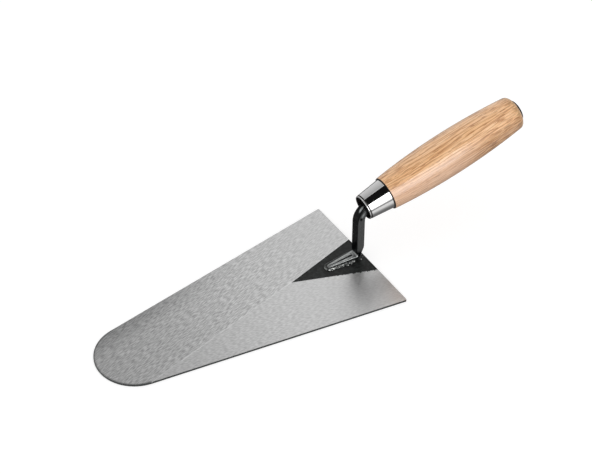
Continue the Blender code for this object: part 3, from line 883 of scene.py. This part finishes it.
def make_handle():
    """Turned barrel with a tenon in the ferrule, a bore and a socket for the cap."""
    rings = rings_of("handle")
    belly = max(radius for along, radius in rings)
    skin = [(along, radius) for along, radius in rings if radius > belly / 2]
    inner = [(along, radius) for along, radius in rings if 0 < radius < belly / 2]
    socket_start = skin[-1][0] - 10 * MM
    bore = [ring for ring in inner if ring[0] < socket_start]
    socket = [ring for ring in inner if ring[0] > socket_start]
    outline = [bore[-1], bore[0]] + skin + socket[::-1]
    piece = turned("beech_handle", outline, closed=False)
    paint(piece, lacquered_beech())
    # Faces towards the mouth, where the wood meets the ferrule, are painted near black:
    # painted shade.
    paint(piece, painted_joint_shade(),
          lambda face: face.normal.dot(HANDLE_DIRECTION) < -0.6)
    finish_piece(piece, "handle", smooth_angle=40)


def make_butt_cap():
    """Domed cap closing the butt, the edge of its crown rounded."""
    piece = copy_solid("butt_cap", "domed_butt_cap")

    def crown_edge(ends):
        """True on the ring where the upright rim meets the crown."""
        return all(radius >= CAP_RADIUS - TOUCH and along >= CAP_SEAT + TOUCH
                   for along, radius in (turned_place(point) for point in ends))

    open_piece(piece)
    select_edges(piece, crown_edge)
    bpy.ops.mesh.bevel(offset=0.2 * MM, segments=3)
    close_piece()
    paint(piece, polished_steel("blued cap steel", face="#0c0c0c", slant="#101010",
                                smooth=0.12, hazy=0.18))
    finish_piece(piece, "butt_cap", smooth_angle=30)


# ------------------------------------------------------------------- studio, camera
WHITE = (1, 1, 1, 1)
BLACK = (0, 0, 0, 1)
CAMERA_AIM = Vector((-0.0457, -0.0044, 0.0331))
CAMERA_DISTANCE = 1.1895
CAMERA_AZIMUTH = 57.205         # degrees from +X towards +Y
CAMERA_ELEVATION = 43.003
CAMERA_ROLL = 0.203
CAMERA_LENS = 123.87            # mm, on a 36 mm wide sensor
AMBIENT = 0.84                  # radiance the surround lights with
KEY = 1.2                       # radiance the softbox lights with
KEY_MIRRORED = 5.0              # radiance that its face shows in bright metal
KEY_WIDTH = 0.94
KEY_HEIGHT = 0.9
FLOOR_LIFT = 0.58               # radiance the table gains for the eye
SHADE_LENGTH = 0.1              # full shade on the table below the handle
SHADE_REACH = 0.075             # its soft border on every side
ON_TABLE = -FERRULE_MIDDLE.z    # the table's height from the ferrule's middle


def direction(azimuth, elevation):
    """Unit vector towards an azimuth from +X and an elevation, in degrees."""
    turn = math.radians(azimuth)
    rise = math.radians(elevation)
    return Vector((math.cos(turn) * math.cos(rise), math.sin(turn) * math.cos(rise),
                   math.sin(rise)))


def make_camera():
    """Long lens looking down on the tool from beyond its nose, on the +Y side."""
    lens = bpy.data.cameras.new("camera")
    lens.sensor_width = 36
    lens.lens = CAMERA_LENS
    lens.clip_start = 0.05
    lens.clip_end = 50
    camera = bpy.data.objects.new("camera", lens)
    back = direction(CAMERA_AZIMUTH, CAMERA_ELEVATION)
    camera.matrix_world = (
        Matrix.Translation(CAMERA_AIM + CAMERA_DISTANCE * back)
        @ back.to_track_quat("Z", "Y").to_matrix().to_4x4()
        @ Matrix.Rotation(math.radians(CAMERA_ROLL), 4, "Z"))
    bpy.context.scene.collection.objects.link(camera)
    bpy.context.scene.camera = camera


def add_softbox(name, centre, facing, width, height, radiance):
    """Rectangular lamp, placed from the ferrule's middle, with the radiance of its face."""
    lamp = bpy.data.lights.new(name, "AREA")
    lamp.shape = "RECTANGLE"
    lamp.size = width
    lamp.size_y = height
    lamp.energy = radiance * math.pi * width * height
    softbox = bpy.data.objects.new(name, lamp)
    softbox.location = FERRULE_MIDDLE + Vector(centre)
    softbox.rotation_mode = "QUATERNION"
    softbox.rotation_quaternion = (-Vector(facing)).to_track_quat("Z", "Y")
    bpy.context.scene.collection.objects.link(softbox)


def add_plane(name, size, place=(0, 0, 0)):
    """Square plane, level at a place."""
    bpy.ops.object.select_all(action="DESELECT")
    bpy.ops.mesh.primitive_plane_add(size=size, location=place)
    plane = bpy.context.object
    plane.name = name
    return plane


def show_in_mirrors(panel, made, tree, shader, radiance):
    """Let a panel glow, seen only in bright metal and lacquer and lighting nothing."""
    panel.visible_camera = False
    panel.visible_diffuse = False
    panel.visible_shadow = False
    fill(tree, shader, {"Base Color": BLACK, "Specular IOR Level": 0.0,
                        "Emission Color": WHITE, "Emission Strength": radiance})
    panel.data.materials.append(made)


def add_panel(name, centre, facing, width, height, glow, far_glow):
    """Panel for mirrors, placed from the ferrule's middle.

    It glows from glow at its low end to far_glow at its high end along its own X.
    """
    panel = add_plane(name, 1)
    panel.matrix_world = (
        Matrix.Translation(FERRULE_MIDDLE + Vector(centre))
        @ Vector(facing).to_track_quat("Z", "Y").to_matrix().to_4x4()
        @ Matrix.Diagonal((width, height, 1, 1)))
    made, tree, shader, places = start_material(name)
    across = add_node(tree, "ShaderNodeSeparateXYZ", {0: places}, "X")
    radiance = add_node(tree, "ShaderNodeMapRange",
                        {"Value": across, "From Min": -0.5, "From Max": 0.5,
                         "To Min": glow, "To Max": far_glow})
    show_in_mirrors(panel, made, tree, shader, radiance)


def add_table_shade():
    """Soft shade for mirrors on the table below the handle.

    The full shade starts 20 mm behind the ferrule's middle and lies 8 mm aside.
    """
    place = (FERRULE_MIDDLE.x - 0.02 - SHADE_LENGTH / 2, 0.008, -0.05 * MM)
    shade = add_plane("shade_on_table", 1, place)
    shade.scale = (SHADE_LENGTH + 2 * SHADE_REACH, 2 * SHADE_REACH, 1)
    bpy.ops.object.transform_apply(location=False, rotation=False, scale=True)
    made, tree, shader, places = start_material("shade on table")
    # How far a place lies from the line of full shade, the same on both of its sides.
    aside = add_node(tree, "ShaderNodeVectorMath", {0: places}, operation="ABSOLUTE")
    beyond = add_node(tree, "ShaderNodeVectorMath",
                      {0: aside, 1: (SHADE_LENGTH / 2, 0, 0)}, operation="SUBTRACT")
    beyond = add_node(tree, "ShaderNodeVectorMath", {0: beyond, 1: (0, 0, 0)},
                      operation="MAXIMUM")
    out = add_node(tree, "ShaderNodeVectorMath", {0: beyond}, "Value",
                   operation="LENGTH")
    radiance = add_node(tree, "ShaderNodeMapRange",
                        {"Value": out, "From Min": 0.01, "From Max": SHADE_REACH,
                         "To Min": 0.2, "To Max": 1.1}, interpolation_type="SMOOTHSTEP")
    show_in_mirrors(shade, made, tree, shader, radiance)


def seen_or_mirrored(tree):
    """1 for what the eye sees directly, in a mirror or through glass, otherwise 0."""
    seen = add_node(tree, "ShaderNodeLightPath", {}, "Is Camera Ray")
    for way in ("Is Glossy Ray", "Is Transmission Ray"):
        seen = add_node(tree, "ShaderNodeMath",
                        {0: seen, 1: add_node(tree, "ShaderNodeLightPath", {}, way)},
                        operation="MAXIMUM")
    return seen


def make_floor():
    """Wide white table, lifted to pure white for the eye but for a soft shadow."""
    floor = add_plane("table", 8, (0, 0, -0.1 * MM))
    made, tree, shader = start_material("white table")[:3]
    lift = add_node(tree, "ShaderNodeMath", {0: seen_or_mirrored(tree), 1: FLOOR_LIFT},
                    operation="MULTIPLY")
    fill(tree, shader, {"Base Color": srgb("#bdbdbd"), "Roughness": 0.9,
                        "Specular IOR Level": 0.0, "Emission Color": WHITE,
                        "Emission Strength": lift})
    floor.data.materials.append(made)


def make_world():
    """White surround, dimmer as a light than it looks."""
    world = bpy.data.worlds.new("white surround")
    world.use_nodes = True
    tree = world.node_tree
    strength = add_node(tree, "ShaderNodeMapRange",
                        {"Value": seen_or_mirrored(tree), "To Min": AMBIENT,
                         "To Max": 1.0})
    fill(tree, tree.nodes["Background"], {"Color": WHITE, "Strength": strength})
    bpy.context.scene.world = world


def make_studio():
    """White table and surround, one softbox on the +Y side, and what metal mirrors.

    That is the softbox's face, black overhead, a graded grey panel on the -Y side, and
    grey on the table: a shade below the handle, a strip on its +Y side and a card on
    its -Y side.
    """
    make_world()
    make_floor()
    add_softbox("key_softbox", (0.14, 0.9, 0.48), (0, -1, 0), KEY_WIDTH, KEY_HEIGHT, KEY)
    # The face hangs just before the lamp, so that metal mirrors it in the lamp's stead.
    add_panel("softbox_face", (0.14, 0.89, 0.48), (0, -1, 0), width=KEY_WIDTH,
              height=KEY_HEIGHT, glow=KEY_MIRRORED, far_glow=KEY_MIRRORED)
    add_panel("black_overhead", (0.12, 0.24, 0.8), (0, 0, -1), width=0.8, height=0.93,
              glow=0.01, far_glow=0.01)
    add_panel("graded_side_panel", (0.05, -0.35, 0.5), (0, 1, 0), width=0.6, height=1.0,
              glow=0.0, far_glow=1.3)
    add_table_shade()
    add_panel("strip_on_table", (0, 0.24, ON_TABLE + 1 * MM), (0, 0, 1), width=0.8,
              height=0.17, glow=0.3, far_glow=0.3)
    add_panel("card_beyond", (-0.1, -0.2, ON_TABLE + 0.5 * MM), (0, 0, 1), width=0.5,
              height=0.28, glow=0.25, far_glow=0.25)
    make_camera()
    bpy.context.scene.view_settings.view_transform = "Standard"


make_blade()
make_shank()
make_weld()
make_ferrule()
make_handle()
make_butt_cap()
make_studio()
